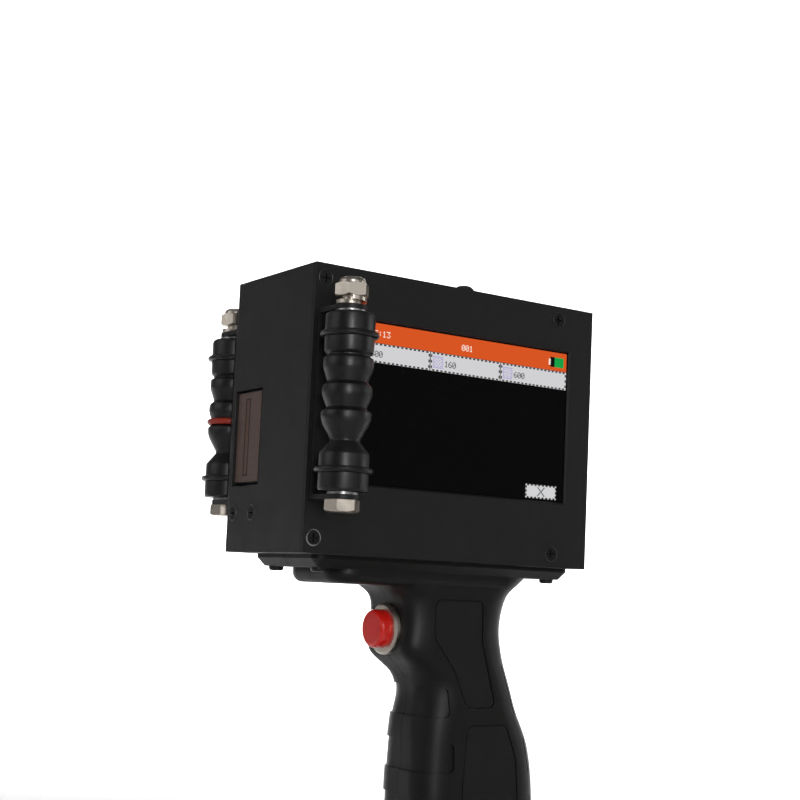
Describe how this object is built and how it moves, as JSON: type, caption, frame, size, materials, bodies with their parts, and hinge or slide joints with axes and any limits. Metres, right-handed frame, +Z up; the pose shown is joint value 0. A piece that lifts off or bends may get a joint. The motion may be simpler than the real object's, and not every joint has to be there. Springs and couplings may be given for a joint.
{
  "type": "handheld date code inkjet printer",
  "caption": "Handheld inkjet date coder: box head with touch screen, print window and guide rollers on a pistol grip with a red trigger button.",
  "frame": {"origin": "centre of the grip base face, the face it stands on", "axes": "+Z up along the grip to the head, -X the way the print face looks, -Y the way the screen looks"},
  "size_m": [0.1231, 0.0972, 0.2231],
  "materials": {
    "case_paint": "powder-coated black, fine texture",
    "cover_paint": "powder-coated black, fine texture",
    "black_screw": "blackened steel",
    "screen_glass": "polished black-backed glass",
    "display": "dark display panel",
    "gasket_foam": "closed-cell foam",
    "circuit_board": "solder-masked board",
    "chip_black": "moulded",
    "nickel_steel": "nickel-plated steel",
    "zinc_steel": "zinc-plated steel",
    "cartridge_plastic": "moulded",
    "nozzle_film": "brown polyimide film on a steel plate",
    "bracket_paint": "powder-coated black",
    "roller_rubber": "turned satin black rubber",
    "ring_black": "moulded o-ring",
    "ring_red": "red silicone o-ring",
    "bronze": "sintered bronze",
    "grip_plastic": "satin moulded ABS",
    "pad_rubber": "soft-touch elastomer",
    "trigger_red": "red moulded cap",
    "door_paint": "powder-coated black",
    "button_rubber": "moulded rubber dome",
    "socket_steel": "stamped steel",
    "cell_wrap": "shrink-wrapped cells",
    "magnet_steel": "plain"
  },
  "bodies": {
    "root": {"main_housing": "case_paint", "front_cover": "cover_paint", "front_cover_screws": "black_screw", "touch_panel": "screen_glass", "screen_gasket": "gasket_foam", "lcd_module": "display", "control_board": "circuit_board", "board_components": "chip_black", "board_standoffs": "zinc_steel", "board_screws": "zinc_steel", "usb_socket": "socket_steel", "dc_jack": "chip_black", "power_switch_body": "black_screw", "ink_cartridge": "cartridge_plastic", "nozzle_plate": "nozzle_film", "cartridge_holder": "chip_black", "holder_screws": "black_screw", "contact_board": "circuit_board", "lever_pin": "zinc_steel", "door_pin": "zinc_steel", "door_catch": "magnet_steel", "grip_front_shell": "grip_plastic", "grip_back_shell": "grip_plastic", "grip_screws": "black_screw", "flange_screws": "black_screw", "upper_side_pads": "pad_rubber", "lower_side_pads": "pad_rubber", "trigger_switch_body": "nickel_steel", "trigger_nut": "nickel_steel", "battery_cells": "cell_wrap", "battery_caps": "chip_black", "base_cap": "grip_plastic", "base_cap_screws": "black_screw", "front_bracket": "bracket_paint", "front_bracket_screws": "black_screw", "front_roller_washers": "zinc_steel", "front_roller_bolt": "nickel_steel", "front_lock_washer": "nickel_steel", "front_lock_nut": "nickel_steel", "back_bracket": "bracket_paint", "back_bracket_screws": "black_screw", "back_roller_washers": "zinc_steel", "back_roller_bolt": "nickel_steel", "back_lock_washer": "nickel_steel", "back_lock_nut": "nickel_steel"},
    "front_roller_body": {"front_roller": "roller_rubber", "front_roller_rings": "ring_black", "front_roller_bushings": "bronze"},
    "back_roller_body": {"back_roller": "roller_rubber", "back_roller_rings": "ring_black", "back_roller_bushings": "bronze", "back_red_ring": "ring_red"},
    "trigger_body": {"trigger_cap": "trigger_red"},
    "power_button_body": {"power_button": "button_rubber"},
    "door_body": {"cartridge_door": "door_paint"},
    "lever_body": {"cartridge_lever": "cartridge_plastic"}
  },
  "joints": [
    {"name": "front_roller_spin", "type": "hinge", "parent": "root", "child": "front_roller_body", "pos_m": [-0.081, -0.039, 0.17], "axis": [0, 0, 1], "continuous": true},
    {"name": "back_roller_spin", "type": "hinge", "parent": "root", "child": "back_roller_body", "pos_m": [-0.081, 0.039, 0.17], "axis": [0, 0, 1], "continuous": true},
    {"name": "trigger_press", "type": "slide", "parent": "root", "child": "trigger_body", "axis": [1, 0, 0], "range_m": [0, 0.0025], "stiffness_N_per_m": 900},
    {"name": "power_button_press", "type": "slide", "parent": "root", "child": "power_button_body", "axis": [0, 0, -1], "range_m": [0, 0.0015], "stiffness_N_per_m": 1200},
    {"name": "door_swing", "type": "hinge", "parent": "root", "child": "door_body", "pos_m": [0.03, 0.0125, 0.139], "axis": [0, 1, 0], "range_deg": [0, 90]},
    {"name": "lever_turn", "type": "hinge", "parent": "root", "child": "lever_body", "pos_m": [-0.0045, 0.0136, 0.1455], "axis": [0, 1, 0], "range_deg": [0, 75]}
  ]
}
